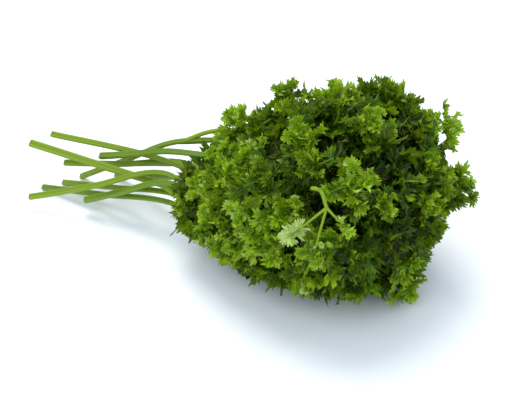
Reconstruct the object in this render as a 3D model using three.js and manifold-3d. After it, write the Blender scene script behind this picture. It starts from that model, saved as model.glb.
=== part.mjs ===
// A cut bunch of curly parsley, lying on its side.
// Eleven leafy stems, each one body: a grooved stalk that runs from its cut end through the throat of
// the bunch into the head, side stalks that leave it there, and a ruffled rosette of leaflets on each.
// Millimetres, +Z up. +X runs along the bunch from the cut ends to the leaves. Z = 0 is the surface.
import * as THREE from 'three';
import { mergeVertices } from 'three/addons/utils/BufferGeometryUtils.js';
import Module from 'manifold-3d';

const wasm = await Module();
wasm.setup();

// Driving dimensions of the bunch
const HEAD_CENTRE = point(43, -6, 52); // on the axis of the bell that the rosettes sit on
const AXIS_FROM = point(-130, -14, -6); // where the axis of the bell comes from, behind the throat
const HEAD_HALF_WIDTH = 54;
const HEAD_HALF_HEIGHT = 45;
const HEAD_SHOULDER = 12; // where the bell is widest, along the axis from its centre
const HEAD_FRONT = 46; // from the shoulder to the front pole
const HEAD_BACK = 114; // from the shoulder to where the bell closes round the stalks
const BACK_CURVE = 1.6;
const FRONT_CURVE = 2.4;
const THROAT_BACK = 92; // from the head's centre to the throat, where the stalks gather
const BUNCH_MIDDLE = point(-13.5, -5, 0); // the finished bunch's own middle, moved to the origin

// Driving dimensions of a stalk
const STALK_SIDES = 6;
const STALK_STEP = 6; // samples of the centre line from one ring to the next
const STALK_GROOVE = 0.3; // depth of the groove, as a share of the radius
const STALK_GAP = 0.8; // clear space between two stalks
const STALK_SINK = 0.7; // how far a stalk that lies on the surface is pressed flat
const STALK_TIP_SHARE = 0.34; // radius at the leafy end, as a share of the radius at the cut end
const SAMPLES_PER_SPAN = 20;
const SETTLE_PASSES = 40;
const BEND_REACH = 26; // samples to each side over which a stalk bends out of another's way

// Driving dimensions of a side stalk and its rosette
const SIDE_STALK_RADIUS = 1.1;
const SIDE_STALK_SIDES = 4;
const SIDE_STALK_SPANS = 3;
const SIDE_STALK_LEAD = 22; // how far behind its rosette a side stalk leaves the main stalk
const SIDE_STALK_RISE = 11; // length over which it turns to meet the rosette from inside
const ROSETTE_RADIUS = 21;
const LEAFLETS = 4;
// Tooth, notch, tooth, notch, tooth and cut to the rib, as shares of the rosette's radius
const LEAFLET_OUTLINE = [0.97, 0.74, 1.05, 0.73, 0.95, 0.28];
const RUFFLE = 0.17; // rise and fall of the edge, as a share of the rosette's radius
const LEAF_RISE = 9.5; // how far leaf tips stand out of the bell
const BLADE_THICKNESS = 0.9;
const NEIGHBOUR_GAP = 0.25; // from a blade to the plane halfway to the next rosette
const LEAST_HUB_HEIGHT = 9;
const LEAST_FACING_UP = -0.3; // leaves by the surface turn along it
const LEAST_HUB_SPACING = 13;
const WELD = 0.004; // edges shorter than this are closed up after the pieces are joined

// Where rosettes sit along the head, in mm from its centre. An outer stem has staggered pairs and one at
// its tip. An inner stem has one at the front pole, one beside it and three round them. Spreads are in
// degrees round the axis.
const PAIR_ROWS = [-64, -37, -11, 15];
const PAIR_STAGGER = 6;
const PAIR_HALF_SPREAD = 11.25;
const TIP_ROW = 37;
const POLE_ROW = 57.4;
const POLE_GAP_ROW = 54;
const POLE_RING_ROW = 47;
const POLE_RING_SPREAD = 40;

// The stems. cut is the middle of the cut end, radius is the stalk's there, throat is how far towards the
// near side and up from the bunch's axis it passes the throat, and turn is the stem's sector in the head,
// in degrees from the near side upwards. bare is the number of pairs missing nearest the throat, if any,
// and strays are rosettes that stand out of the bell.
const STEMS = [
  { ring: 'inner', turn: -20, cut: [-148, -2.5, 26], radius: 2.4, throat: [2, 9] },
  { ring: 'inner', turn: 210, cut: [-139, 6.5, 30], radius: 1.95, throat: [-10, 17.5],
    strays: [[103, 22, 56]] },
  { ring: 'outer', turn: 77.5, cut: [-102.5, 3.5, 27], radius: 2.15, throat: [-9, 25], bare: 1 },
  { ring: 'inner', turn: 86, cut: [-124, -3, 20], radius: 1.95, throat: [-13.5, 14.5],
    strays: [[88, 38, 80]] },
  { ring: 'outer', turn: 122.5, cut: [-125.5, 13, 1.2], radius: 1.9, throat: [-16.5, 27], bare: 1,
    strays: [[-18, 12, 66], [12, 10, 90]] },
  { ring: 'outer', turn: -57.5, cut: [-138.5, -7.5, 1.2], radius: 1.85, throat: [6.5, 1.5] },
  { ring: 'outer', turn: 257.5, cut: [-131, 2.5, 1.2], radius: 1.85, throat: [0.5, 4],
    strays: [[91, -9, 12]] },
  { ring: 'outer', turn: -12.5, cut: [-132, -28, 8], radius: 1.95, throat: [-1.5, 14] },
  { ring: 'outer', turn: 32.5, cut: [-101, -17, 9], radius: 2.1, throat: [5.5, 13.5] },
  { ring: 'outer', turn: 167.5, cut: [-107, 22, 10.5], radius: 1.75, throat: [-19.5, 12], bare: 1 },
  { ring: 'outer', turn: 212.5, cut: [-108, 24, 1.2], radius: 1.75, throat: [-17.5, 3] },
];

// The bunch's own directions: along the stalks to the leaves, to the near side, and up between them
const AXIS = HEAD_CENTRE.clone().sub(AXIS_FROM).normalize();
const NEAR = point(AXIS.y, -AXIS.x, 0).normalize();
const UP = NEAR.clone().cross(AXIS);

function point(x, y, z) {
  return new THREE.Vector3(x, y, z);
}

// A repeatable number from -1 to 1 for each kind of draw on each rosette of each stem
function scatter(stem, rosette, draw) {
  const wave = Math.sin(stem * 12.9898 + rosette * 78.233 + draw * 37.719) * 43758.5453;
  return 2 * (wave - Math.floor(wave)) - 1;
}

// A place in the bunch's own directions, from a centre
function offset(centre, along, near, up) {
  return centre.clone().addScaledVector(AXIS, along).addScaledVector(NEAR, near).addScaledVector(UP, up);
}

// The bell's radius along the axis, as a share of its widest
function bellShare(along) {
  const back = along < HEAD_SHOULDER;
  const share = Math.min(Math.abs(along - HEAD_SHOULDER) / (back ? HEAD_BACK : HEAD_FRONT), 0.995);
  return back ? 1 - share ** BACK_CURVE : (1 - share ** FRONT_CURVE) ** (1 / FRONT_CURVE);
}

// A point of the bell, or inside it where depth is under 1: along its axis, and round it in degrees
function onHead(along, turn, depth) {
  const angle = THREE.MathUtils.degToRad(turn);
  const share = depth * bellShare(along);
  const near = share * HEAD_HALF_WIDTH * Math.cos(angle);
  return offset(HEAD_CENTRE, along, near, share * HEAD_HALF_HEIGHT * Math.sin(angle));
}

// The way out of the bell at a place near its surface
function outward(place) {
  const from = place.clone().sub(HEAD_CENTRE);
  const along = from.dot(AXIS);
  const near = from.dot(NEAR) / HEAD_HALF_WIDTH;
  const up = from.dot(UP) / HEAD_HALF_HEIGHT;
  const slope = HEAD_HALF_WIDTH * (bellShare(along + 1) - bellShare(along - 1)) / 2;
  const round = Math.hypot(near, up);
  return offset(point(0, 0, 0), -slope, near / round, up / round).normalize();
}

// The rosettes of one stem, strays first, each with its hub and the way it faces
function rosettesOf(stem, s) {
  const { strays = [], bare = 0 } = stem;
  const places = strays.map((at) => point(...at));
  const place = (along, turn) => {
    const k = places.length;
    const depth = 1 + 0.06 * scatter(s, k, 3);
    places.push(onHead(along + 3 * scatter(s, k, 1), turn + 2.5 * scatter(s, k, 2), depth));
  };
  if (stem.ring === 'outer') {
    for (const row of PAIR_ROWS.slice(bare)) {
      for (const side of [-1, 1]) {
        place(row + side * PAIR_STAGGER, stem.turn + side * PAIR_HALF_SPREAD);
      }
    }
    place(TIP_ROW, stem.turn);
  } else {
    for (const side of [-1, 0, 1]) {
      place(POLE_RING_ROW, stem.turn + side * POLE_RING_SPREAD);
    }
    place(POLE_GAP_ROW, stem.turn + 60);
    place(POLE_ROW, stem.turn);
  }
  return places.map((hub, k) => {
    hub.z = Math.max(hub.z, LEAST_HUB_HEIGHT);
    const facing = outward(hub);
    facing.addScaledVector(AXIS, 0.2);
    facing.add(point(scatter(s, k, 4), scatter(s, k, 5), scatter(s, k, 6)).multiplyScalar(0.28));
    facing.z = Math.max(facing.z, LEAST_FACING_UP);
    const along = hub.clone().sub(HEAD_CENTRE).dot(AXIS);
    const size = ROSETTE_RADIUS * (0.7 + 0.3 * bellShare(along)) * (1 + 0.1 * scatter(s, k, 7));
    return { stem: s, number: k, stray: k < strays.length, hub, facing: facing.normalize(), size };
  });
}

// Hubs that fall too close to an earlier one are left out
function spacedOut(rosettes) {
  const kept = [];
  for (const rosette of rosettes) {
    if (kept.every((other) => other.hub.distanceTo(rosette.hub) > LEAST_HUB_SPACING)) {
      kept.push(rosette);
    }
  }
  return kept;
}

// Centre line of one main stalk, from the cut end to its last rosette
function stalkLine(stem, lastHub) {
  const cut = point(...stem.cut);
  const throat = offset(HEAD_CENTRE, -THROAT_BACK, ...stem.throat);
  const inside = stem.ring === 'outer'
    ? [onHead(-50, stem.turn, stem.bare ? 1 : 0.74), onHead(-18, stem.turn, 0.6), onHead(12, stem.turn, 0.62)]
    : [onHead(-50, stem.turn, 0.24), onHead(-5, stem.turn, 0.14), onHead(35, stem.turn, 0.15)];
  const middle = cut.clone().lerp(throat, 0.5);
  const line = new THREE.CatmullRomCurve3([cut, middle, throat, ...inside, lastHub], false, 'catmullrom');
  const points = line.getPoints(SAMPLES_PER_SPAN * (line.points.length - 1));
  const taper = (i) => 1 - (1 - STALK_TIP_SHARE) * (i / (points.length - 1)) ** 1.2;
  const radii = points.map((_, i) => stem.radius * taper(i));
  return { points, radii };
}

// Where two stalks most lack the clear space between them
function tightest(a, b) {
  const found = { lack: 0, i: 0, j: 0 };
  a.points.forEach((p, i) => b.points.forEach((q, j) => {
    const lack = a.radii[i] + b.radii[j] + STALK_GAP - p.distanceTo(q);
    if (lack > found.lack) Object.assign(found, { lack, i, j });
  }));
  return found;
}

// Moves stalks that cross apart, each in a long gentle bend, and keeps them on the surface
function settle(stalks) {
  for (let pass = 0; pass < SETTLE_PASSES; pass++) {
    const pushes = stalks.map((stalk) => stalk.points.map(() => point(0, 0, 0)));
    const bend = (s, at, push) => pushes[s].forEach((sum, i) => {
      const share = Math.max(0, 1 - ((i - at) / BEND_REACH) ** 2) ** 2;
      sum.addScaledVector(push, share);
    });
    for (let a = 0; a < stalks.length; a++) {
      for (let b = a + 1; b < stalks.length; b++) {
        const { lack, i, j } = tightest(stalks[a], stalks[b]);
        const away = stalks[a].points[i].clone().sub(stalks[b].points[j]).setLength(lack / 2);
        bend(a, i, away);
        bend(b, j, away.negate());
      }
    }
    stalks.forEach((stalk, s) => stalk.points.forEach((p, i) => {
      p.add(pushes[s][i]);
      p.z = Math.max(p.z, stalk.radii[i] - STALK_SINK);
    }));
  }
}

// A closed solid from vertices and triangles
function solid(vertices, triangles) {
  const geometry = new THREE.BufferGeometry().setFromPoints(vertices);
  geometry.setIndex(triangles.flat());
  const merged = mergeVertices(geometry, 1e-5);
  return new wasm.Manifold(new wasm.Mesh({
    numProp: 3,
    vertProperties: merged.attributes.position.array,
    triVerts: new Uint32Array(merged.index.array),
  }));
}

// Rings of vertices along a line of centres, of the section that radiusAt(ring, side) gives
function ringsAlong(centres, sides, radiusAt, firstAcross) {
  const vertices = [];
  let across = firstAcross;
  centres.forEach((centre, ring) => {
    const ahead = centres[Math.min(ring + 1, centres.length - 1)];
    const behind = centres[Math.max(ring - 1, 0)];
    const way = ahead.clone().sub(behind).normalize();
    across = across.clone().addScaledVector(way, -across.dot(way)).normalize();
    const other = way.clone().cross(across);
    for (let side = 0; side < sides; side++) {
      const angle = (2 * Math.PI * side) / sides;
      const r = radiusAt(ring, side);
      vertices.push(centre.clone()
        .addScaledVector(across, r * Math.cos(angle))
        .addScaledVector(other, r * Math.sin(angle)));
    }
  });
  return vertices;
}

// The triangles of a tube's wall between its rings, facing out
function tubeWall(first, sides, spans) {
  const triangles = [];
  for (let base = first; base < first + spans * sides; base += sides) {
    for (let side = 0; side < sides; side++) {
      const next = (side + 1) % sides;
      triangles.push([base + side, base + next, base + sides + next]);
      triangles.push([base + side, base + sides + next, base + sides + side]);
    }
  }
  return triangles;
}

// The main stalk, with a groove along its upper side
function mainStalk({ points, radii }) {
  const rings = points.map((_, i) => i).filter((i) => i % STALK_STEP === 0);
  const spans = rings.length - 1;
  const vertices = ringsAlong(rings.map((i) => points[i]), STALK_SIDES, (ring, side) => {
    return radii[rings[ring]] * (side === 0 ? 1 - STALK_GROOVE : 1);
  }, UP);
  const triangles = tubeWall(0, STALK_SIDES, spans);
  const end = spans * STALK_SIDES;
  for (let side = 1; side < STALK_SIDES - 1; side++) {
    triangles.push([0, side + 1, side], [end, end + side, end + side + 1]);
  }
  return solid(vertices, triangles);
}

// Centre line of a side stalk, from a rosette's hub back into the main stalk
function sideStalkLine(stalk, { hub, facing }) {
  const aim = hub.clone().addScaledVector(AXIS, -SIDE_STALK_LEAD);
  const start = stalk.points.reduce((a, b) => (b.distanceTo(aim) < a.distanceTo(aim) ? b : a));
  const under = hub.clone().addScaledVector(facing, -SIDE_STALK_RISE);
  const top = hub.clone().addScaledVector(facing, -BLADE_THICKNESS);
  return new THREE.QuadraticBezierCurve3(top, under, start).getPoints(SIDE_STALK_SPANS);
}

// Planes that a rosette's blade stays behind: halfway to each neighbour, the surface, and the head's outside
function limitsOf(rosette, rosettes) {
  const half = BLADE_THICKNESS / 2;
  const limits = rosettes
    .filter((other) => other !== rosette && other.hub.distanceTo(rosette.hub) < 3 * ROSETTE_RADIUS)
    .map((other) => {
      const way = other.hub.clone().sub(rosette.hub);
      const room = way.length() / 2 - half - NEIGHBOUR_GAP;
      return { way: way.normalize(), room };
    });
  limits.push({ way: point(0, 0, -1), room: rosette.hub.z - half * Math.abs(rosette.facing.z) });
  limits.push({ way: outward(rosette.hub), room: LEAF_RISE });
  return limits;
}

// A ruffled rosette on its side stalk. The leaflets are one thin waved sheet, cut to the hub between them.
// Its underside runs down into the side stalk, which is sunk into the main stalk.
function leafRosette(rosette, rosettes, stalk) {
  const { hub, facing, size, stem, number } = rosette;
  const limits = limitsOf(rosette, rosettes);
  const across = AXIS.clone().addScaledVector(facing, -AXIS.dot(facing)).normalize();
  const other = facing.clone().cross(across);
  const count = LEAFLETS * LEAFLET_OUTLINE.length;
  const half = facing.clone().multiplyScalar(BLADE_THICKNESS / 2);
  const vertices = [];
  for (let i = 0; i < count; i++) {
    const leaflet = Math.floor(i / LEAFLET_OUTLINE.length);
    const corner = i % LEAFLET_OUTLINE.length;
    const angle = (2 * Math.PI * (i + 0.3 * scatter(stem, number, 20 + i))) / count;
    const reach = size * LEAFLET_OUTLINE[corner] * (1 + 0.12 * scatter(stem, number, 60 + leaflet));
    const lean = 0.18 + 0.4 * scatter(stem, number, 10 + leaflet);
    const wave = corner === LEAFLET_OUTLINE.length - 1 ? 0 : RUFFLE * size * (corner % 2 ? -1 : 1);
    const out = across.clone().multiplyScalar(Math.cos(angle) * reach)
      .addScaledVector(other, Math.sin(angle) * reach)
      .addScaledVector(facing, lean * reach + wave);
    const share = limits.reduce((least, { way, room }) => {
      const reached = out.dot(way);
      return reached > room ? Math.min(least, room / reached) : least;
    }, 1);
    const edge = hub.clone().addScaledVector(out, share);
    vertices.push(edge.clone().add(half), edge.clone().sub(half));
  }
  const rings = ringsAlong(sideStalkLine(stalk, rosette), SIDE_STALK_SIDES, () => SIDE_STALK_RADIUS, across);
  const first = vertices.length;
  const middle = first + rings.length;
  vertices.push(...rings, hub.clone().add(half));
  const triangles = tubeWall(first, SIDE_STALK_SIDES, SIDE_STALK_SPANS);
  const root = middle - SIDE_STALK_SIDES;
  for (let side = 1; side < SIDE_STALK_SIDES - 1; side++) {
    triangles.push([root, root + side, root + side + 1]);
  }
  const quarter = (i) => Math.round((i * SIDE_STALK_SIDES) / count) % SIDE_STALK_SIDES;
  const sideAt = (i) => first + ((SIDE_STALK_SIDES - quarter(i)) % SIDE_STALK_SIDES);
  for (let i = 0; i < count; i++) {
    const here = 2 * i;
    const next = 2 * ((i + 1) % count);
    triangles.push([middle, here, next]);
    triangles.push([here, here + 1, next + 1], [here, next + 1, next]);
    triangles.push([sideAt(i), next + 1, here + 1]);
    if (sideAt(i) !== sideAt(i + 1)) {
      triangles.push([sideAt(i), sideAt(i + 1), next + 1]);
    }
  }
  return solid(vertices, triangles);
}

// One leafy stem: its stalk, side stalks and rosettes joined into one body
function leafyStem(stalk, rosettes, all) {
  const pieces = [mainStalk(stalk)];
  for (const rosette of rosettes) {
    pieces.push(leafRosette(rosette, all, stalk));
  }
  const joined = wasm.Manifold.union(pieces).trimByPlane([0, 0, 1], 0).simplify(WELD);
  const { vertProperties, triVerts, numProp } = joined.getMesh();
  const geometry = new THREE.BufferGeometry();
  geometry.setAttribute('position', new THREE.BufferAttribute(new Float32Array(vertProperties), numProp));
  geometry.setIndex(new THREE.BufferAttribute(new Uint32Array(triVerts), 1));
  geometry.computeVertexNormals();
  return geometry;
}

const parsleyGreen = new THREE.MeshStandardMaterial({ color: 0x4f8a20, roughness: 0.55, metalness: 0 });
const stalks = STEMS.map((stem, s) => stalkLine(stem, rosettesOf(stem, s).at(-1).hub));
settle(stalks);
const placed = STEMS.flatMap(rosettesOf);
const rosettes = spacedOut([...placed.filter((r) => r.stray), ...placed.filter((r) => !r.stray)]);

const bunch = new THREE.Group();
bunch.name = 'parsley_bunch';
bunch.position.copy(BUNCH_MIDDLE).negate();
STEMS.forEach((stem, s) => {
  const own = rosettes.filter((rosette) => rosette.stem === s);
  const mesh = new THREE.Mesh(leafyStem(stalks[s], own, rosettes), parsleyGreen);
  mesh.name = `leafy_stem_${String(s + 1).padStart(2, '0')}`;
  bunch.add(mesh);
});

export default bunch;
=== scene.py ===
import math

import bpy
import numpy as np
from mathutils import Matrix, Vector


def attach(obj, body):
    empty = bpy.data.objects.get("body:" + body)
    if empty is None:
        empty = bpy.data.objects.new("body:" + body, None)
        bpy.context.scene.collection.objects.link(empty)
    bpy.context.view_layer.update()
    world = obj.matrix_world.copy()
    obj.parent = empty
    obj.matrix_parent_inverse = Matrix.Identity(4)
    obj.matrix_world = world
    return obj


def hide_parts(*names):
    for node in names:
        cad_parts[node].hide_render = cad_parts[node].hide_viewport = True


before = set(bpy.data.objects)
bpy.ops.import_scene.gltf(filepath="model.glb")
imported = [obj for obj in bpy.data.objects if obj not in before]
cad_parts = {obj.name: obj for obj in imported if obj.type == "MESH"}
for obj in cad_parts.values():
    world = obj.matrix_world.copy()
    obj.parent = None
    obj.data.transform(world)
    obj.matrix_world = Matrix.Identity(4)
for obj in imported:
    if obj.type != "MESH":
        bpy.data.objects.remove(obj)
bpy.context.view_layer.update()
print("frame loaded,", len(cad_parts), "leafy stems")

mm = 0.001

# the lie of the bunch, in mm: the bell that the leaf clumps sit on, and its axis
bunch = {
    "headCentre": (43, -6, 52),
    "axisFrom": (-130, -14, -6),
    "halfWidth": 54,
    "halfHeight": 45,
    "shoulder": 12,
    "front": 46,
    "back": 114,
    "backCurve": 1.6,
    "frontCurve": 2.4,
    "throatBack": 92,
    "middle": (-13.5, -5, 0),   # taken off everything, so the bunch lies over the origin
}

# where clumps sit along the head, as mm from its centre, and how they spread round it in degrees
clumps = {
    "pairRows": (-64, -37, -11, 15),
    "pairStagger": 6,
    "pairHalfSpread": 11.25,
    "tipRow": 37,
    "poleRow": 57.4,
    "poleGapRow": 54,
    "poleGapTurn": 60,
    "poleRingRow": 47,
    "poleRingSpread": 40,
    "rowScatter": 3,
    "turnScatter": 2.5,
    "depthScatter": 0.06,
    "radius": 21,
    "smallestShare": 0.7,
    "sizeScatter": 0.1,
    "facingForward": 0.2,
    "facingScatter": 0.28,
    "leastFacingUp": -0.3,
    "leastHeight": 9,
    "leastSpacing": 13,
}

# cut end, radius there, place in the throat (near, up), sector in the head, clumps that stand out, rows of
# clumps it lacks at the back of the head, and how much greener than the rest the stalk is, partly its own
# colour and partly painted shade
stems = [
    {"ring": "inner", "turn": -20, "cut": (-148, -2.5, 26), "radius": 2.4, "throat": (2, 9)},
    {"ring": "inner", "turn": 210, "cut": (-139, 6.5, 30), "radius": 1.95, "throat": (-10, 17.5),
     "strays": [(103, 22, 56)]},
    {"ring": "outer", "turn": 77.5, "cut": (-102.5, 3.5, 27), "radius": 2.15, "throat": (-9, 25),
     "bare": 1, "green": 0.45},
    {"ring": "inner", "turn": 86, "cut": (-124, -3, 20), "radius": 1.95, "throat": (-13.5, 14.5),
     "strays": [(88, 38, 80)], "green": 0.2},
    {"ring": "outer", "turn": 122.5, "cut": (-125.5, 13, 1.2), "radius": 1.9, "throat": (-16.5, 27),
     "strays": [(-18, 12, 66), (12, 10, 90)], "bare": 1},
    {"ring": "outer", "turn": -57.5, "cut": (-138.5, -7.5, 1.2), "radius": 1.85, "throat": (6.5, 1.5),
     "green": 0.5},
    {"ring": "outer", "turn": 257.5, "cut": (-131, 2.5, 1.2), "radius": 1.85, "throat": (0.5, 4),
     "strays": [(91, -9, 12)]},
    {"ring": "outer", "turn": -12.5, "cut": (-132, -28, 8), "radius": 1.95, "throat": (-1.5, 14)},
    {"ring": "outer", "turn": 32.5, "cut": (-101, -17, 9), "radius": 2.1, "throat": (5.5, 13.5),
     "green": 0.4},
    {"ring": "outer", "turn": 167.5, "cut": (-107, 22, 10.5), "radius": 1.75, "throat": (-19.5, 12),
     "bare": 1},
    {"ring": "outer", "turn": 212.5, "cut": (-108, 24, 1.2), "radius": 1.75, "throat": (-17.5, 3)},
]


def unit(vector):
    vector = np.asarray(vector, float)
    return vector / np.maximum(np.linalg.norm(vector, axis=-1, keepdims=True), 1e-12)


centre = np.array(bunch["headCentre"], float)
axis = unit(centre - np.array(bunch["axisFrom"], float))
near = unit((axis[1], -axis[0], 0))
up = np.cross(near, axis)


def scatter(stem, clump, draw):
    # a repeatable number from -1 to 1, the same one that placed the solids
    wave = math.sin(stem * 12.9898 + clump * 78.233 + draw * 37.719) * 43758.5453
    return 2 * (wave - math.floor(wave)) - 1


def offset(start, along, toNear, toUp):
    return start + axis * along + near * toNear + up * toUp


def bellShare(along):
    # the bell's width there, as a share of its widest
    back = along < bunch["shoulder"]
    share = min(abs(along - bunch["shoulder"]) / bunch["back" if back else "front"], 0.995)
    if back:
        return 1 - share ** bunch["backCurve"]
    return (1 - share ** bunch["frontCurve"]) ** (1 / bunch["frontCurve"])


def onHead(along, turn, depth):
    angle = math.radians(turn)
    share = depth * bellShare(along)
    return offset(centre, along, share * bunch["halfWidth"] * math.cos(angle),
                  share * bunch["halfHeight"] * math.sin(angle))


def outward(place):
    away = place - centre
    along = away @ axis
    toNear, toUp = away @ near / bunch["halfWidth"], away @ up / bunch["halfHeight"]
    slope = bunch["halfWidth"] * (bellShare(along + 1) - bellShare(along - 1)) / 2
    reach = math.hypot(toNear, toUp)
    return unit(offset(np.zeros(3), -slope, toNear / reach, toUp / reach))


def rise(place):
    # how far a point stands out of the bell, in mm
    away = place - centre
    reach = math.hypot(away @ near / bunch["halfWidth"], away @ up / bunch["halfHeight"])
    return (reach - bellShare(away @ axis)) * bunch["halfHeight"]


def clumpPlaces(stem, which):
    places = [np.array(place, float) for place in stem.get("strays", [])]

    def add(along, turn):
        nth = len(places)
        depth = 1 + clumps["depthScatter"] * scatter(which, nth, 3)
        places.append(onHead(along + clumps["rowScatter"] * scatter(which, nth, 1),
                             turn + clumps["turnScatter"] * scatter(which, nth, 2), depth))

    if stem["ring"] == "outer":
        for row in clumps["pairRows"][stem.get("bare", 0):]:
            for side in (-1, 1):
                add(row + side * clumps["pairStagger"], stem["turn"] + side * clumps["pairHalfSpread"])
        add(clumps["tipRow"], stem["turn"])
    else:
        for side in (-1, 0, 1):
            add(clumps["poleRingRow"], stem["turn"] + side * clumps["poleRingSpread"])
        add(clumps["poleGapRow"], stem["turn"] + clumps["poleGapTurn"])
        add(clumps["poleRow"], stem["turn"])
    return places


def clumpsOf(stem, which):
    made = []
    for nth, hub in enumerate(clumpPlaces(stem, which)):
        hub[2] = max(hub[2], clumps["leastHeight"])
        facing = outward(hub) + axis * clumps["facingForward"]
        facing += clumps["facingScatter"] * np.array([scatter(which, nth, draw) for draw in (4, 5, 6)])
        facing[2] = max(facing[2], clumps["leastFacingUp"])
        least = clumps["smallestShare"]
        size = clumps["radius"] * (least + (1 - least) * bellShare((hub - centre) @ axis))
        size *= 1 + clumps["sizeScatter"] * scatter(which, nth, 7)
        made.append({"stem": which, "number": nth, "stray": nth < len(stem.get("strays", [])), "hub": hub,
                     "facing": unit(facing), "size": size})
    return made


def spacedOut(found):
    kept = []
    for clump in found:
        if all(np.linalg.norm(other["hub"] - clump["hub"]) > clumps["leastSpacing"] for other in kept):
            kept.append(clump)
    return kept


# the stalks' way through the head, as mm along it and depth, and how those that cross are moved apart
lie = {
    "outerPath": ((-50, 0.74), (-18, 0.6), (12, 0.62)),
    "innerPath": ((-50, 0.24), (-5, 0.14), (35, 0.15)),
    "bareDepth": 1, "samplesPerSpan": 20, "passes": 40, "bendReach": 26, "gap": 0.8, "sink": 0.7,
    "tipShare": 0.34, "taper": 1.2,
}


def curveThrough(points, perSpan):
    points = np.array(points, float)
    ends = np.vstack([2 * points[0] - points[1], points, 2 * points[-1] - points[-2]])
    out = []
    count = len(points) - 1
    for i in range(perSpan * count + 1):
        span = min(i // perSpan, count - 1)
        t = i / perSpan - span
        a, b, c, d = ends[span:span + 4]
        slopeB, slopeC = (c - a) / 2, (d - b) / 2
        out.append(b + slopeB * t + (3 * (c - b) - 2 * slopeB - slopeC) * t ** 2
                   + (2 * (b - c) + slopeB + slopeC) * t ** 3)
    return np.array(out)


def stalkLine(stem, lastHub):
    cut = np.array(stem["cut"], float)
    throat = offset(centre, -bunch["throatBack"], *stem["throat"])
    path = lie[stem["ring"] + "Path"]
    inside = [onHead(along, stem["turn"], depth) for along, depth in path]
    if "bare" in stem:
        inside[0] = onHead(path[0][0], stem["turn"], lie["bareDepth"])
    line = curveThrough([cut, (cut + throat) / 2, throat, *inside, lastHub], lie["samplesPerSpan"])
    share = np.arange(len(line)) / (len(line) - 1)
    return line, stem["radius"] * (1 - (1 - lie["tipShare"]) * share ** lie["taper"])


def settle(lines, radii):
    # each pair is eased apart where it is tightest, in a long gentle bend
    count, samples = radii.shape
    steps = np.arange(samples)
    for _ in range(lie["passes"]):
        pushes = np.zeros_like(lines)
        for a in range(count):
            for b in range(a + 1, count):
                between = lines[a][:, None] - lines[b][None]
                lack = radii[a][:, None] + radii[b][None] + lie["gap"] - np.linalg.norm(between, axis=2)
                i, j = np.unravel_index(lack.argmax(), lack.shape)
                away = unit(between[i, j]) * max(lack[i, j], 0) / 2
                for which, at, push in ((a, i, away), (b, j, -away)):
                    share = np.maximum(0, 1 - ((steps - at) / lie["bendReach"]) ** 2) ** 2
                    pushes[which] += share[:, None] * push
        lines = lines + pushes
        lines[..., 2] = np.maximum(lines[..., 2], radii - lie["sink"])
    return lines


placed = [clumpsOf(stem, which) for which, stem in enumerate(stems)]
started = [stalkLine(stem, found[-1]["hub"]) for stem, found in zip(stems, placed)]
stalkRadii = np.array([radii for _, radii in started])
stalkLines = settle(np.array([line for line, _ in started]), stalkRadii)
everyClump = [clump for found in placed for clump in found]
everyClump = spacedOut(sorted(everyClump, key=lambda clump: not clump["stray"]))   # strays keep their place
print("bunch laid out,", len(everyClump), "leaf clumps")


def linear(hexColour):
    # sRGB hex to the linear values that the shaders take
    parts = [int(hexColour[i:i + 2], 16) / 255 for i in (1, 3, 5)]
    return (*[part / 12.92 if part <= 0.04045 else ((part + 0.055) / 1.055) ** 2.4 for part in parts], 1)


def addNode(tree, kind, settings=None, links=None):
    node = tree.nodes.new(kind)
    for name, value in (settings or {}).items():
        if isinstance(name, str) and hasattr(node, name):
            setattr(node, name, value)
        else:
            node.inputs[name].default_value = value
    for name, source in (links or {}).items():
        tree.links.new(source, node.inputs[name])
    return node


def addMath(tree, operation, first, second=None, third=None):
    # numbers are set on the node, sockets are linked to it
    inputs = {i: value for i, value in enumerate((first, second, third)) if value is not None}
    numbers = {i: value for i, value in inputs.items() if isinstance(value, (int, float))}
    sockets = {i: value for i, value in inputs.items() if i not in numbers}
    return addNode(tree, "ShaderNodeMath", {"operation": operation, **numbers}, sockets).outputs[0]


def newMaterial(name):
    material = bpy.data.materials.new(name)
    material.use_nodes = True
    material.node_tree.nodes.clear()
    return material, material.node_tree


# curled parsley leaf: a thin waxy blade, satin where it faces the light and glowing yellow-green where
# light comes through, with a paler rib down each lobe. Tones run from the darkest, for old leaf and for
# painted shade deep in the head, to the underside; each blade has painted shade at its foot and a painted
# highlight towards its edge
leafLook = {
    "tones": ((0.05, "#0d1800"), (0.45, "#365701"), (0.82, "#9cbe18"), (1.0, "#c2d488")),
    "rib": "#adc45c", "through": "#acd61a", "roughness": 0.38, "ior": 1.42, "sheen": 0.25,
    "throughShare": 0.38, "throughLift": 0.55, "mottleMm": 2.0, "mottle": 0.5, "puckerMm": 0.7,
    "puckerDepthMm": 0.2, "puckerStrength": 0.35, "edgeFrom": 0.5, "footPaintedShade": -0.05, "edgePaintedLight": 0.14,
    "lobes": 3.0, "ribFrom": 0.03, "ribTo": 0.12, "ribFadeFrom": 0.2, "ribStrength": 0.55, "ribHeight": 0.5,
}


def leafRibs(tree, across, out):
    # one rib down the middle of each lobe, fading towards the edge
    look = leafLook
    inLobe = addMath(tree, "FRACT", addMath(tree, "MULTIPLY", across, look["lobes"]))
    fromRib = addMath(tree, "ABSOLUTE", addMath(tree, "SUBTRACT", inLobe, 0.5))
    rib = addNode(tree, "ShaderNodeMapRange",
                  {"From Min": look["ribFrom"], "From Max": look["ribTo"], "To Min": 1, "To Max": 0},
                  {"Value": fromRib})
    fade = addNode(tree, "ShaderNodeMapRange",
                   {"From Min": look["ribFadeFrom"], "From Max": 1,
                    "To Min": look["ribStrength"], "To Max": 0}, {"Value": out})
    return addMath(tree, "MULTIPLY", rib.outputs["Result"], fade.outputs["Result"])


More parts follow.
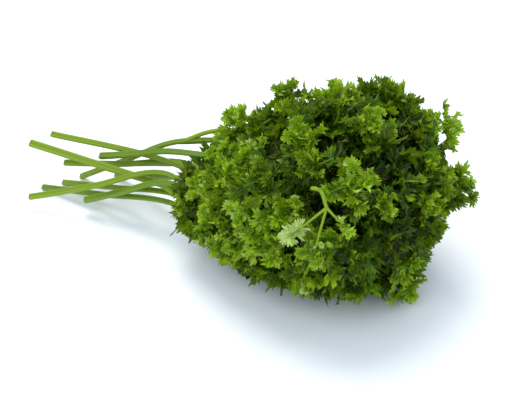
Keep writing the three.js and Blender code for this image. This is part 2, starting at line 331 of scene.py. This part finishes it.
def curledLeafMaterial():
    look = leafLook
    material, tree = newMaterial("curledParsleyLeaf")
    place = addNode(tree, "ShaderNodeNewGeometry").outputs["Position"]
    tone = addNode(tree, "ShaderNodeAttribute", {"attribute_name": "leafTone"}).outputs["Fac"]
    blade = addNode(tree, "ShaderNodeUVMap", {"uv_map": "blade"}).outputs["UV"]
    onBlade = addNode(tree, "ShaderNodeSeparateXYZ", None, {0: blade})   # across the fan, out from its foot
    mottle = addNode(tree, "ShaderNodeTexNoise", {"Scale": 1 / (look["mottleMm"] * mm), "Detail": 3},
                     {"Vector": place})
    shade = addMath(tree, "MULTIPLY_ADD", mottle.outputs["Fac"], look["mottle"], -look["mottle"] / 2)
    # painted shade towards the foot of each blade and a painted highlight towards its edge
    edge = addNode(tree, "ShaderNodeMapRange",
                   {"From Min": look["edgeFrom"], "From Max": 1, "To Min": look["footPaintedShade"],
                    "To Max": look["edgePaintedLight"]}, {"Value": onBlade.outputs["Y"]})
    shaded = addMath(tree, "ADD", addMath(tree, "ADD", tone, shade), edge.outputs["Result"])
    ramp = addNode(tree, "ShaderNodeValToRGB", None, {"Fac": shaded})
    stops = ramp.color_ramp.elements
    stops.remove(stops[0])
    stops[0].position, stops[0].color = look["tones"][0][0], linear(look["tones"][0][1])
    for position, colour in look["tones"][1:]:
        stops.new(position).color = linear(colour)
    ribs = leafRibs(tree, onBlade.outputs["X"], onBlade.outputs["Y"])
    colour = addNode(tree, "ShaderNodeMix", {"data_type": "RGBA", 7: linear(look["rib"])},
                     {0: ribs, 6: ramp.outputs["Color"]}).outputs[2]
    pucker = addNode(tree, "ShaderNodeTexNoise", {"Scale": 1 / (look["puckerMm"] * mm), "Detail": 2},
                     {"Vector": place})
    height = addMath(tree, "MULTIPLY_ADD", ribs, look["ribHeight"], pucker.outputs["Fac"])
    bump = addNode(tree, "ShaderNodeBump",
                   {"Strength": look["puckerStrength"], "Distance": look["puckerDepthMm"] * mm},
                   {"Height": height}).outputs["Normal"]
    waxy = addNode(tree, "ShaderNodeBsdfPrincipled",
                   {"Roughness": look["roughness"], "IOR": look["ior"], "Specular IOR Level": look["sheen"]},
                   {"Base Color": colour, "Normal": bump})
    through = linear(look["through"])
    tinted = addNode(tree, "ShaderNodeMix",
                     {"data_type": "RGBA", "blend_type": "MULTIPLY", 0: 1.0, 7: through}, {6: colour})
    glow = addNode(tree, "ShaderNodeMix", {"data_type": "RGBA", 0: look["throughLift"], 7: through},
                   {6: tinted.outputs[2]})
    thin = addNode(tree, "ShaderNodeBsdfTranslucent", None, {"Color": glow.outputs[2], "Normal": bump})
    both = addNode(tree, "ShaderNodeMixShader", {0: look["throughShare"]},
                   {1: waxy.outputs["BSDF"], 2: thin.outputs["BSDF"]})
    addNode(tree, "ShaderNodeOutputMaterial", None, {"Surface": both.outputs["Shader"]})
    return material


# parsley stalk: firm, juicy and finely ribbed, paler towards the cut end, with a soft wet-looking sheen, and
# its channel and the hollows between ribs painted darker as shade
stalkLook = {
    "pale": "#899f1c", "green": "#5f7d0c", "shaded": "#4a6a08", "roughness": 0.45, "ior": 1.36,
    "streakMm": 0.8, "streakLengthMm": 14, "streakDepthMm": 0.15, "streakStrength": 0.4, "streakGreen": 0.5,
    "juicy": 0.12, "juicyMm": 1.5, "juicyReach": (0.9, 1.0, 0.25),
}


def ribbedStalkMaterial():
    look = stalkLook
    material, tree = newMaterial("ribbedParsleyStalk")
    skin = addNode(tree, "ShaderNodeUVMap", {"uv_map": "skin"}).outputs["UV"]   # mm round it, mm along it
    stretched = addNode(tree, "ShaderNodeMapping",
                        {"Scale": (1 / look["streakMm"], 1 / look["streakLengthMm"], 1)}, {"Vector": skin})
    streaks = addNode(tree, "ShaderNodeTexNoise", {"Scale": 1.0, "Detail": 3},
                      {"Vector": stretched.outputs[0]})
    along = addNode(tree, "ShaderNodeAttribute", {"attribute_name": "alongStalk"}).outputs["Fac"]
    furrow = addNode(tree, "ShaderNodeAttribute", {"attribute_name": "furrow"}).outputs["Fac"]
    grade = addMath(tree, "MULTIPLY_ADD", streaks.outputs["Fac"], look["streakGreen"], along)
    skinColour = addNode(tree, "ShaderNodeMix",
                         {"data_type": "RGBA", 6: linear(look["pale"]), 7: linear(look["green"])},
                         {0: grade})
    # painted shade in the channel and between the ribs
    colour = addNode(tree, "ShaderNodeMix", {"data_type": "RGBA", 7: linear(look["shaded"])},
                     {0: furrow, 6: skinColour.outputs[2]})
    bump = addNode(tree, "ShaderNodeBump",
                   {"Strength": look["streakStrength"], "Distance": look["streakDepthMm"] * mm},
                   {"Height": streaks.outputs["Fac"]})
    juicy = addNode(tree, "ShaderNodeBsdfPrincipled",
                    {"Roughness": look["roughness"], "IOR": look["ior"], "Subsurface Weight": look["juicy"],
                     "Subsurface Radius": look["juicyReach"], "Subsurface Scale": look["juicyMm"] * mm},
                    {"Base Color": colour.outputs[2], "Normal": bump.outputs["Normal"]})
    addNode(tree, "ShaderNodeOutputMaterial", None, {"Surface": juicy.outputs["BSDF"]})
    return material


# cut parsley stalk: wet pale flesh with darker strands
cutLook = {"flesh": "#dde3b8", "strand": "#9fb45c", "roughness": 0.3, "ior": 1.36, "strandMm": 0.5,
           "strandFrom": 0.1, "strandTo": 0.5, "strandStrength": 0.7}


def cutFleshMaterial():
    look = cutLook
    material, tree = newMaterial("cutStalkFlesh")
    place = addNode(tree, "ShaderNodeNewGeometry").outputs["Position"]
    cells = addNode(tree, "ShaderNodeTexVoronoi", {"Scale": 1 / (look["strandMm"] * mm)}, {"Vector": place})
    strand = addNode(tree, "ShaderNodeMapRange",
                     {"From Min": look["strandFrom"], "From Max": look["strandTo"],
                      "To Min": look["strandStrength"], "To Max": 0}, {"Value": cells.outputs["Distance"]})
    colour = addNode(tree, "ShaderNodeMix",
                     {"data_type": "RGBA", 6: linear(look["flesh"]), 7: linear(look["strand"])},
                     {0: strand.outputs["Result"]})
    flesh = addNode(tree, "ShaderNodeBsdfPrincipled", {"Roughness": look["roughness"], "IOR": look["ior"]},
                    {"Base Color": colour.outputs[2]})
    addNode(tree, "ShaderNodeOutputMaterial", None, {"Surface": flesh.outputs["BSDF"]})
    return material


leafMaterial = curledLeafMaterial()
stalkMaterial = ribbedStalkMaterial()
cutMaterial = cutFleshMaterial()
print("materials made")


def newPiece(name, verts, faces, materials, faceMaterials=None):
    mesh = bpy.data.meshes.new(name)
    mesh.from_pydata((np.asarray(verts) - np.array(bunch["middle"])) * mm, [], faces)
    for material in materials:
        mesh.materials.append(material)
    if faceMaterials is not None:
        mesh.polygons.foreach_set("material_index", faceMaterials)
    mesh.polygons.foreach_set("use_smooth", np.ones(len(mesh.polygons), bool))
    piece = bpy.data.objects.new(name, mesh)
    bpy.context.scene.collection.objects.link(piece)
    return piece


def addValues(piece, name, values):
    layer = piece.data.attributes.new(name, "FLOAT", "POINT")
    layer.data.foreach_set("value", np.asarray(values, np.float32))


def addMap(piece, name, perVertex):
    layer = piece.data.uv_layers.new(name=name, do_init=False)
    corners = np.empty(len(piece.data.loops), np.int32)
    piece.data.loops.foreach_get("vertex_index", corners)
    layer.uv.foreach_set("vector", np.asarray(perVertex, np.float32)[corners].ravel())


# the stalks: ribbed all round, with the channel that parsley has on its upper side, turned somewhat to the
# near side. Depths are shares of the radius, the channel's half width is in radians and the rest in mm. The
# greens say how far from pale to green a small stalk is. The furrow shade says how strongly the channel and
# the hollows between ribs are painted darker as shade
stalk = {
    "sides": 36, "ribs": 9, "ribDepth": 0.04, "channelDepth": 0.3, "channelHalfWidth": 0.62,
    "channelToNear": 0.7, "furrowShade": 1.6,
    "sideSides": 10, "sideRings": 9, "sideRadii": (1.15, 0.72), "sideLead": 22, "strayLead": 42,
    "sideRise": 11, "sideGreen": 0.9,
    "spraySides": 5, "sprayRadii": (0.45, 0.36, 0.27), "leastSpray": 1, "sprayGreen": 0.6,
    "cutRimShare": 0.9, "cutRimOut": 0.05, "cutSunk": 0.35,
}


def ringFrames(line, across):
    ways = unit(np.gradient(line, axis=0))
    frames = []
    for way in ways:
        across = unit(across - way * (across @ way))
        frames.append((across, np.cross(way, across)))
    return frames


def tube(line, radii, sides, profile, across, green):
    angles = np.arange(sides) * 2 * math.pi / sides
    shape = profile(angles)
    travelled = np.concatenate([[0], np.cumsum(np.linalg.norm(np.diff(line, axis=0), axis=1))])
    verts, skin, faces = [], [], []
    for ring, (first, second) in enumerate(ringFrames(line, across)):
        spokes = np.cos(angles)[:, None] * first + np.sin(angles)[:, None] * second
        verts.append(line[ring] + (radii[ring] * shape)[:, None] * spokes)
        skin.append(np.column_stack([angles * radii[ring], np.full(sides, travelled[ring])]))
    for ring in range(len(line) - 1):
        for side in range(sides):
            here = ring * sides + side
            beside = ring * sides + (side + 1) % sides
            faces.append((here, beside, beside + sides, here + sides))
    # painted shade, strongest where the profile is cut in deepest
    furrow = np.tile(np.clip((1 - shape) * stalk["furrowShade"], 0, 1), len(line))
    along = np.repeat(np.broadcast_to(green, len(line)), sides)
    return {"verts": np.vstack(verts), "faces": faces, "skin": np.vstack(skin), "furrow": furrow,
            "along": along}


def roundTube(line, radii, sides, green):
    return tube(line, radii, sides, np.ones_like, up, green)


def stalkProfile(angles):
    wrapped = (angles + math.pi) % (2 * math.pi) - math.pi
    channel = stalk["channelDepth"] * np.exp(-(wrapped / stalk["channelHalfWidth"]) ** 4)
    return 1 + stalk["ribDepth"] * (np.cos(stalk["ribs"] * angles) - 1) - channel


def sideStalk(line, clump):
    aim = clump["hub"] - axis * stalk["strayLead" if clump["stray"] else "sideLead"]
    start = line[np.linalg.norm(line - aim, axis=1).argmin()]
    under = clump["hub"] - clump["facing"] * stalk["sideRise"]
    t = np.linspace(0, 1, stalk["sideRings"])[:, None]
    path = (1 - t) ** 2 * start + 2 * t * (1 - t) * under + t ** 2 * clump["hub"]
    return path, np.linspace(*stalk["sideRadii"], len(path))


# side stalks that leave their stalk outside the leaves: the stem, counted from 0, the sample they leave at,
# their end and how far they arch up on the way. Each is swollen where it leaves
forks = [
    {"stem": 4, "sample": 44, "end": (-18, 12, 62), "arch": 2.5, "radius": 1.25},
    {"stem": 0, "sample": 36, "end": (-7, -33, 31), "arch": 1, "radius": 1.2},
    {"stem": 3, "sample": 38, "end": (-16, -10, 44), "arch": 1, "radius": 1.1},
    {"stem": 3, "sample": 38, "end": (-12, -20, 38), "arch": -2, "radius": 1.0},
]
forkLook = {"swelling": 0.5, "swellingFade": 12, "green": 0.25}


def forkStalks(which):
    t = np.linspace(0, 1, stalk["sideRings"])
    swelling = 1 + forkLook["swelling"] * np.exp(-forkLook["swellingFade"] * t)
    for fork in forks:
        if fork["stem"] == which:
            start, end = stalkLines[which][fork["sample"]], np.array(fork["end"], float)
            arch = (4 * t * (1 - t) * fork["arch"])[:, None] * up
            yield start + (end - start) * t[:, None] + arch, fork["radius"] * swelling


def sprayStalks(leaves):
    # from the foot of each spray to its last leaflet
    last = {}
    for leaf in leaves:
        foot = tuple(leaf["spray"])
        known = last.get(foot, leaf["spray"])
        if np.linalg.norm(leaf["base"] - foot) >= np.linalg.norm(known - foot):
            last[foot] = leaf["base"]
    for foot, end in last.items():
        if np.linalg.norm(end - foot) > stalk["leastSpray"]:
            yield np.linspace(foot, end, len(stalk["sprayRadii"])), np.array(stalk["sprayRadii"])


def stalkTubes(which, leaves):
    line = stalkLines[which]
    channelWay = up + stalk["channelToNear"] * near
    # some stalks are painted darker green, partly their own colour and partly painted shade
    green = stems[which].get("green", 0) + np.linspace(0, 1, len(line))
    yield tube(line, stalkRadii[which], stalk["sides"], stalkProfile, channelWay, green)
    for clump in everyClump:
        if clump["stem"] == which:
            yield roundTube(*sideStalk(line, clump), stalk["sideSides"], stalk["sideGreen"])
    for path, radii in forkStalks(which):
        yield roundTube(path, radii, stalk["sideSides"], forkLook["green"])
    if which == turnedLeaf["stem"]:
        for path, radii in turnedStalks():
            yield roundTube(path, radii, stalk["sideSides"], turnedLeaf["green"])
    for path, radii in sprayStalks(leaves):
        yield roundTube(path, radii, stalk["spraySides"], stalk["sprayGreen"])


def cutEnd(line, rim, count):
    # a rim and a slightly sunken middle, numbered on from the count of points before them
    inward = unit(line[1] - line[0])
    inner = line[0] + (rim - line[0]) * stalk["cutRimShare"] - inward * stalk["cutRimOut"]
    middle = line[0] + inward * stalk["cutSunk"]
    sides = len(rim)
    faces = []
    for side in range(sides):
        beside = (side + 1) % sides
        faces.append((beside, side, count + side, count + beside))
        faces.append((count + side, count + sides, count + beside))
    return np.vstack([inner, middle]), faces


def bodyOfStalks(which, leaves):
    tubes = list(stalkTubes(which, leaves))
    faces = []
    count = 0
    for part in tubes:
        faces += [tuple(corner + count for corner in face) for face in part["faces"]]
        count += len(part["verts"])
    cutVerts, cutFaces = cutEnd(stalkLines[which], tubes[0]["verts"][:stalk["sides"]], count)
    verts = np.vstack([part["verts"] for part in tubes] + [cutVerts])
    verts[:, 2] = np.maximum(verts[:, 2], 0)   # flattened where it bears on the surface
    faceMaterials = np.repeat(np.array([0, 1], np.int32), [len(faces), len(cutFaces)])
    materials = [stalkMaterial, cutMaterial]
    piece = newPiece(f"stalk{which + 1:02d}", verts, faces + cutFaces, materials, faceMaterials)
    blank = np.zeros(len(cutVerts))
    addValues(piece, "furrow", np.concatenate([part["furrow"] for part in tubes] + [blank]))
    addValues(piece, "alongStalk", np.concatenate([part["along"] for part in tubes] + [blank]))
    addMap(piece, "skin", np.vstack([part["skin"] for part in tubes] + [np.stack([blank, blank], -1)]))
    return piece


# one leaflet of length 1: a fan with a wedge base and three lobes of three blunt teeth, crisped towards its
# edge
leaflet = {
    "teeth": 3, "lobeReach": (0.9, 1.0, 0.9), "sideTooth": 0.9, "toothFlat": (0.3, 0.7), "notch": 0.77,
    "cut": 0.55, "rows": (0.05, 0.42, 0.74, 1.0), "halfFan": 72, "baseFan": 0.5, "uneven": 0.06,
    "crisp": 0.27, "crispSpread": (0.6, 1.5), "crispGrowth": 1.4, "crispWaves": (1.5, 2.4),
    "toothCrisp": 0.12, "toothGrowth": 3,
}


def leafletOutline():
    across, reach = [], []
    teeth = leaflet["teeth"]
    count = teeth * len(leaflet["lobeReach"])
    for tooth in range(count):
        full = leaflet["lobeReach"][tooth // teeth]
        tip = full * (1 if tooth % teeth == teeth // 2 else leaflet["sideTooth"])
        low = full * leaflet["notch"] if tooth % teeth else leaflet["cut"]
        across += [2 * (tooth + at) / count - 1 for at in (0, *leaflet["toothFlat"])]
        reach += [low, tip, tip]
    return np.array(across + [1]), np.array(reach + [leaflet["cut"]])


fan, outline = leafletOutline()
rows = np.array(leaflet["rows"])[:, None]
grid = np.arange(rows.size * fan.size).reshape(rows.size, fan.size)
leafletFaces = np.stack([grid[:-1, :-1], grid[:-1, 1:], grid[1:, 1:], grid[1:, :-1]], -1).reshape(-1, 4)
bladeMap = np.stack(np.broadcast_arrays((fan[None] + 1) / 2, rows), -1).reshape(-1, 2)


def leafletShape(seeded, bend, cup):
    # a flat fan, then its lobes and teeth rise and fall, and it bends over its length
    out = rows * outline * (1 + leaflet["uneven"] * seeded.standard_normal(fan.size))
    angle = math.radians(leaflet["halfFan"]) * fan * (leaflet["baseFan"] + (1 - leaflet["baseFan"]) * rows)
    x, y = out * np.cos(angle), out * np.sin(angle)
    flat = np.stack([0.5 + 0.5 * y, 0.02 + 0.9 * x], -1).reshape(-1, 2)   # within a square, for baking
    waves = math.pi * seeded.uniform(*leaflet["crispWaves"]) * fan + seeded.uniform(0, 2 * math.pi)
    crisp = leaflet["crisp"] * seeded.uniform(*leaflet["crispSpread"]) * np.sin(waves)
    teeth = leaflet["toothCrisp"] * seeded.standard_normal(fan.size)
    z = crisp * out ** leaflet["crispGrowth"] + cup * y ** 2 + teeth * out ** leaflet["toothGrowth"]
    turned = bend * x
    shape = np.stack([np.sin(turned) / bend, y, z + (1 - np.cos(turned)) / bend], -1)
    return shape.reshape(-1, 3), flat


# a spray: leaflets on one small stalk, each as its place along it, its turn in degrees and its length, with
# place and length as shares of the spray's length
sprayPlan = (
    (0.62, 0, 0.4), (0.52, 48, 0.37), (0.5, -48, 0.37), (0.34, 62, 0.35), (0.32, -62, 0.35),
    (0.14, 76, 0.31), (0.12, -76, 0.31),
)
# tones run from 0, dark as old leaf and as painted shade, to 1, the pale underside
sprayLook = {
    "roll": 0.3, "tilt": 0.22, "turnSpread": 9, "lengthSpread": (0.85, 1.15), "bend": (-0.689, 1.611),
    "cup": (-0.4, 0.6), "toneMix": 0.13, "palest": 0.74, "turnedShare": 0.02, "turnedTone": 0.88,
}


def leafTone(seeded, tone):
    # the palest tones are kept for leaflets that show their underside
    if seeded.random() < sprayLook["turnedShare"]:
        return sprayLook["turnedTone"]
    if tone >= 1:
        return tone
    return min(tone + sprayLook["toneMix"] * seeded.standard_normal(), sprayLook["palest"])


def sprayLeaves(seeded, base, grow, face, length, tone, free=False):
    # free sprays may stand out of the bell further than the rest
    look = sprayLook
    grow = unit(grow)
    face = unit(face - grow * (face @ grow) + look["roll"] * seeded.standard_normal(3))
    face = unit(face - grow * (face @ grow))
    side = np.cross(face, grow)
    leaves = []
    for along, turn, share in sprayPlan:
        turn = math.radians(turn + seeded.uniform(-look["turnSpread"], look["turnSpread"]))
        way = math.cos(turn) * grow + math.sin(turn) * side
        way = unit(way + look["tilt"] * seeded.standard_normal(3))
        lean = face + look["tilt"] * seeded.standard_normal(3)
        leaves.append({
            "spray": base,
            "base": base + grow * along * length,
            "way": way,
            "face": unit(lean - way * (lean @ way)),
            "length": length * share * seeded.uniform(*look["lengthSpread"]),
            "bend": seeded.uniform(*look["bend"]),
            "cup": seeded.uniform(*look["cup"]),
            "tone": leafTone(seeded, tone),
            "free": free,
        })
    return leaves


# a clump: wide sprays where the solid has its leaflets, a ring under them painted darker as shade and young
# ones on top, lighter partly as fresh growth and partly as painted light, fewer of them in the hollows
# painted dark as shade. Lengths are shares of the clump's size, and depths and rises are in mm
clumpLook = {
    "tone": 0.37, "toneSpread": 0.23, "strayTone": 0.12, "hollowTone": -0.12,
    "wide": 4, "wideTurn": 30, "wideTurnSpread": 12, "wideLean": -0.12, "wideLeanSpread": 0.35,
    "wideLift": 0.14, "wideLength": 0.88, "wideUneven": 0.12, "wideRise": 1.5,
    "under": 3, "underLean": (-0.1, 0.4), "underDepth": 9, "underLength": 0.8, "underPaintedShade": -0.32,
    "young": 4, "youngInHollow": 1, "youngLean": (0.6, 1.4), "youngRise": 1, "youngLength": 0.62,
    "youngTopLight": 0.2,
    "mostRise": 6, "riseWithHeight": 0.08,
}
# young yellow-green growth, lighter, and hollows painted darker as shade: place along the head in mm and
# round it in degrees, reach in mm and how much lighter, below 0 for the painted shade
growthAndShadeSpots = [
    (-55, 35, 24, 0.3), (-25, 35, 24, 0.3), (10, 45, 20, 0.2), (45, 25, 16, 0.15), (40, 0, 18, 0.12),
    (30, 90, 28, 0.2), (55, 120, 26, 0.22), (35, 55, 24, -0.32), (55, 55, 24, -0.26), (53, 15, 22, -0.3),
    (48, -10, 20, -0.24), (15, 58, 16, -0.16),
]


def clumpLeaves(seeded, clump):
    look = clumpLook
    which, nth, hub, facing, size = (clump[name] for name in ("stem", "number", "hub", "facing", "size"))
    first = unit(axis - facing * (axis @ facing))
    second = np.cross(facing, first)
    tone = look["tone"] + look["toneSpread"] * seeded.uniform(-1, 1)
    lighter = look["strayTone"] if clump["stray"] else 0
    # lighter for young growth, darker for painted shade in the hollows
    for along, turn, reach, lift in growthAndShadeSpots:
        lighter += lift * max(0, 1 - np.linalg.norm(hub - onHead(along, turn, 1)) / reach)
    tone += lighter

    def around(degrees):
        return math.cos(math.radians(degrees)) * first + math.sin(math.radians(degrees)) * second

    leaves = []
    step = 360 / look["wide"]
    for spray in range(look["wide"]):
        lean = look["wideLeanSpread"] * scatter(which, nth, 10 + spray) + look["wideLean"]
        lean += look["wideLift"] * seeded.standard_normal()
        turn = step * spray + look["wideTurn"]
        turn += seeded.uniform(-look["wideTurnSpread"], look["wideTurnSpread"])
        length = look["wideLength"] * size * (1 + look["wideUneven"] * scatter(which, nth, 60 + spray))
        base = hub + look["wideRise"] * facing
        leaves += sprayLeaves(seeded, base, around(turn) + lean * facing, facing, length, tone)
    step = 360 / look["under"]
    for spray in range(look["under"]):
        grow = around(step * spray + seeded.uniform(0, step)) + seeded.uniform(*look["underLean"]) * facing
        base = hub - facing * look["underDepth"]
        length = look["underLength"] * size
        # the under ring is painted darker as shade
        leaves += sprayLeaves(seeded, base, grow, facing, length, tone + look["underPaintedShade"])
    step = 360 / look["young"]
    for spray in range(look["young" if lighter > look["hollowTone"] else "youngInHollow"]):
        grow = around(step * spray + seeded.uniform(0, step)) + seeded.uniform(*look["youngLean"]) * facing
        base = hub + look["youngRise"] * facing
        length = look["youngLength"] * size
        # young sprays on top are lighter, partly fresh growth and partly painted light
        leaves += sprayLeaves(seeded, base, grow, facing, length, tone + look["youngTopLight"])
    return leaves + restingLeaves(seeded, hub, facing, tone)


# sprays that hang from the low clumps to the surface, where the weight of the bunch lies: which clumps have
# them, by height, place across and place along the head in mm, and how the sprays hang, their tone painted
# darker as shade
restLook = {
    "sprays": 5, "below": 28, "toNear": 17, "rows": (-45, 24), "spread": 0.5, "outward": 0.5, "reach": 1.25,
    "longest": 24, "tone": -0.15,
}


def restingLeaves(seeded, hub, facing, tone):
    look = restLook
    away = hub - centre
    firstRow, lastRow = look["rows"]
    leaves = []
    if hub[2] < look["below"] and away @ near < look["toNear"] and firstRow < away @ axis < lastRow:
        level = unit((facing[0], facing[1], 0))
        length = min(look["reach"] * hub[2], look["longest"])
        for _ in range(look["sprays"]):
            spread = look["spread"] * seeded.standard_normal(3) + seeded.uniform(0, look["outward"]) * level
            grow = spread * (1, 1, 0) - (0, 0, 1)
            # painted darker as shade under the head
            leaves += sprayLeaves(seeded, hub, grow, level, length, tone + look["tone"], True)
    return leaves


# the leaf that lies turned over on the near side, its stalk forking three ways, each way ending in a spray
turnedLeaf = {
    "stem": 8, "from": (10, 32.5, 0.62), "stalk": ((60, -58, 88), (65, -59, 88), (69, -61.5, 82)),
    "ends": ((61, -67, 73.5), (68, -67.5, 68.5), (74, -62, 78.5)), "lengths": (16, 12, 12),
    "tones": (1.0, 0.5, 0.75), "facing": (0.4, -0.74, 0.54), "green": 0.2,
    "samplesPerSpan": 6, "stalkRadii": (0.95, 0.855),
    "forkSamples": 8, "forkReach": 1.3, "forkRadii": (0.76, 0.4275),
}


def turnedStalks():
    look = turnedLeaf
    fork = np.array(look["stalk"][-1], float)
    path = curveThrough([onHead(*look["from"]), *look["stalk"]], look["samplesPerSpan"])
    yield path, np.linspace(*look["stalkRadii"], len(path))
    t = np.linspace(0, look["forkReach"], look["forkSamples"])[:, None]
    for end in look["ends"]:
        yield fork + (np.array(end, float) - fork) * t, np.linspace(*look["forkRadii"], len(t))


def turnedLeaves(seeded):
    look = turnedLeaf
    fork, facing = np.array(look["stalk"][-1], float), np.array(look["facing"])
    leaves = []
    for end, length, tone in zip(look["ends"], look["lengths"], look["tones"]):
        base = np.array(end, float)
        leaves += sprayLeaves(seeded, base, base - fork, facing, length, tone, True)
    return leaves


# leaves under the clumps, painted dark as shade, all over a stem's own sector, or all round for the inner
# stems, which fill the front of the head. Each spray is a step on from the one before it, in turn and in
# depth
insideLook = {
    "sprays": 18, "rows": (-68, 50), "spread": 48, "poleSprays": 34, "poleRows": (10, 54), "poleSpread": 360,
    "depth": 0.76, "poleLeastDepth": 0.35, "turnStep": 0.618, "depthStep": 0.414, "length": 25,
    "leastHeight": 6, "grow": 0.5, "tone": 0.04,
}


def insideLeaves(seeded, stem):
    look = insideLook
    inner = stem["ring"] == "inner"
    count = look["poleSprays" if inner else "sprays"]
    firstRow, lastRow = look["poleRows" if inner else "rows"]
    spread = look["poleSpread" if inner else "spread"]
    least = look["poleLeastDepth"] if inner else 1
    leaves = []
    for nth in range(count):
        along = firstRow + (lastRow - firstRow) * (nth + 0.5) / count
        turn = stem["turn"] + spread * (nth * look["turnStep"] % 1 - 0.5)
        depth = look["depth"] * (least + (1 - least) * (nth * look["depthStep"] % 1))
        place = onHead(along, turn, depth)
        base = place - axis * look["length"] / 2
        base[2] = max(base[2], look["leastHeight"])
        grow = axis + look["grow"] * seeded.standard_normal(3)
        leaves += sprayLeaves(seeded, base, grow, outward(place), look["length"], look["tone"])
    return leaves


def leavesOf(which, seeded):
    leaves = insideLeaves(seeded, stems[which])
    if which == turnedLeaf["stem"]:
        leaves += turnedLeaves(seeded)
    for clump in everyClump:
        if clump["stem"] == which:
            most = clumpLook["mostRise"] + clumpLook["riseWithHeight"] * clump["hub"][2]
            for leaf in clumpLeaves(seeded, clump):
                tip = leaf["base"] + leaf["way"] * leaf["length"]
                if clump["stray"] or leaf["free"] or rise(tip) < most:
                    leaves.append(leaf)
    return leaves


# leaves that meet the surface lie on it, at about this height in mm. Each leaflet has a square of its own in
# the OFBake map
foliage = {"seed": 700, "lieHeight": 0.5, "lieGive": 0.3, "bakeMargin": 0.04}


def bodyOfLeaves(which, leaves, seeded):
    look = foliage
    perSide = math.ceil(math.sqrt(len(leaves)))
    verts, tones, cells, faces = [], [], [], []
    for i, leaf in enumerate(leaves):
        shape, flat = leafletShape(seeded, leaf["bend"], leaf["cup"])
        side = np.cross(leaf["face"], leaf["way"])
        points = leaf["base"] + leaf["length"] * shape @ np.stack([leaf["way"], side, leaf["face"]])
        low = points[:, 2] < look["lieHeight"]
        points[low, 2] = look["lieHeight"] + look["lieGive"] * np.tanh(points[low, 2] - look["lieHeight"])
        verts.append(points)
        faces.append(leafletFaces + i * len(points))
        tones.append(np.full(len(points), leaf["tone"]))
        inSquare = look["bakeMargin"] + (1 - 2 * look["bakeMargin"]) * flat
        cells.append((np.array([i % perSide, i // perSide]) + inSquare) / perSide)
    piece = newPiece(f"leaves{which + 1:02d}", np.vstack(verts), np.vstack(faces).tolist(), [leafMaterial])
    addMap(piece, "OFBake", np.vstack(cells))
    addMap(piece, "blade", np.tile(bladeMap, (len(leaves), 1)))
    addValues(piece, "leafTone", np.concatenate(tones))
    return piece


for which in range(len(stems)):
    seeded = np.random.default_rng(foliage["seed"] + which)
    leaves = leavesOf(which, seeded)
    for piece in (bodyOfStalks(which, leaves), bodyOfLeaves(which, leaves, seeded)):
        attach(piece, "root")
        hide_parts(f"leafy_stem_{which + 1:02d}")
    print("leafy stem", which + 1, "done")

# a plain pale surface, with soft light from above and a weaker fill from the near side
studio = {
    "floor": "#f4f6f8", "floorRoughness": 0.6, "floorSize": 8, "floorDrop": 0.0002,
    "sky": "#e2edfb", "skyStrength": 0.95, "lampsAimAt": (0.03, 0, 0.03),
    "keyColour": "#fffaf0", "keyWatts": 12, "keyAt": (-0.3, 0.2, 1.3), "keySize": 0.8,
    "fillColour": "#f2f7ff", "fillWatts": 8, "fillAt": (0.1, -1.0, 1.0), "fillSize": 0.9,
}


def buildFloor():
    bpy.ops.mesh.primitive_plane_add(size=studio["floorSize"], location=(0, 0, -studio["floorDrop"]))
    floor = bpy.context.object
    floor.name = "paleSurface"
    material, tree = newMaterial("paleLacquerBoard")   # smooth white board, even and barely glossy
    board = addNode(tree, "ShaderNodeBsdfPrincipled",
                    {"Base Color": linear(studio["floor"]), "Roughness": studio["floorRoughness"]})
    addNode(tree, "ShaderNodeOutputMaterial", None, {"Surface": board.outputs["BSDF"]})
    floor.data.materials.append(material)


def buildLight():
    world = bpy.data.worlds.new("softRoom")
    world.use_nodes = True
    background = world.node_tree.nodes["Background"]
    background.inputs["Color"].default_value = linear(studio["sky"])
    background.inputs["Strength"].default_value = studio["skyStrength"]
    bpy.context.scene.world = world
    for name in ("key", "fill"):
        light = bpy.data.lights.new(name + "Panel", "AREA")
        light.energy = studio[name + "Watts"]
        light.size = studio[name + "Size"]
        light.color = linear(studio[name + "Colour"])[:3]
        lamp = bpy.data.objects.new(name + "Panel", light)
        lamp.location = studio[name + "At"]
        aim = Vector(studio["lampsAimAt"]) - lamp.location
        lamp.rotation_euler = aim.to_track_quat("-Z", "Y").to_euler()
        bpy.context.scene.collection.objects.link(lamp)


buildFloor()
buildLight()

# the photograph's view: from the near right, looking down on the bunch
shot = {"azimuth": 28, "elevation": 33, "distance": 0.65, "target": (0.0135, 0.005, 0.03), "lens": 85,
        "sensorWidth": 36, "nearest": 0.01}


def buildCamera():
    azimuth, elevation = math.radians(shot["azimuth"]), math.radians(shot["elevation"])
    level = math.cos(elevation)
    back = Vector((math.sin(azimuth) * level, -math.cos(azimuth) * level, math.sin(elevation)))
    data = bpy.data.cameras.new("stillCamera")
    data.lens = shot["lens"]
    data.sensor_width = shot["sensorWidth"]
    data.clip_start = shot["nearest"]
    camera = bpy.data.objects.new("stillCamera", data)
    camera.location = Vector(shot["target"]) + back * shot["distance"]
    camera.rotation_euler = (-back).to_track_quat("-Z", "Y").to_euler()
    bpy.context.scene.collection.objects.link(camera)
    bpy.context.scene.camera = camera


buildCamera()
bpy.context.scene.view_settings.view_transform = "Standard"
print("studio and camera set")
